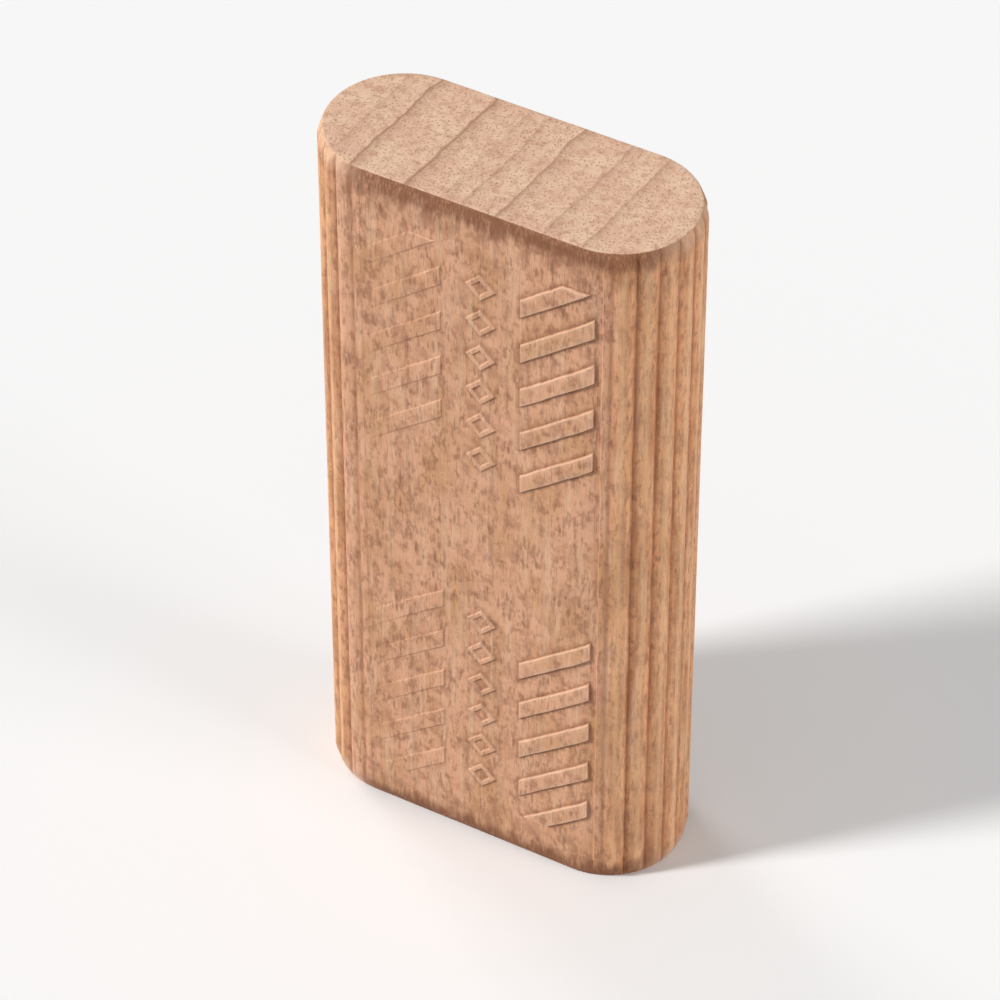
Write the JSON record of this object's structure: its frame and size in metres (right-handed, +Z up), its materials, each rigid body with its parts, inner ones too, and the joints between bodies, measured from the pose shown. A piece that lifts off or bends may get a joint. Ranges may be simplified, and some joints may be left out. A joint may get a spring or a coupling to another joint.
{
  "type": "loose tenon",
  "caption": "Flat beech loose tenon with fluted round ends, chamfered tips and raised slanting bars on both broad faces, glued into two facing mortises.",
  "frame": {"origin": "centre of the lower end face, on the surface that the tenon stands on", "axes": "+X across the width, +Y through the thickness, +Z up along the length and the grain"},
  "size_m": [0.024, 0.01, 0.05],
  "materials": {
    "beech": "bare sawn and pressed beech, unsealed, with brown burnished edges"
  },
  "bodies": {
    "root": {"loose_tenon": "beech"}
  },
  "joints": []
}
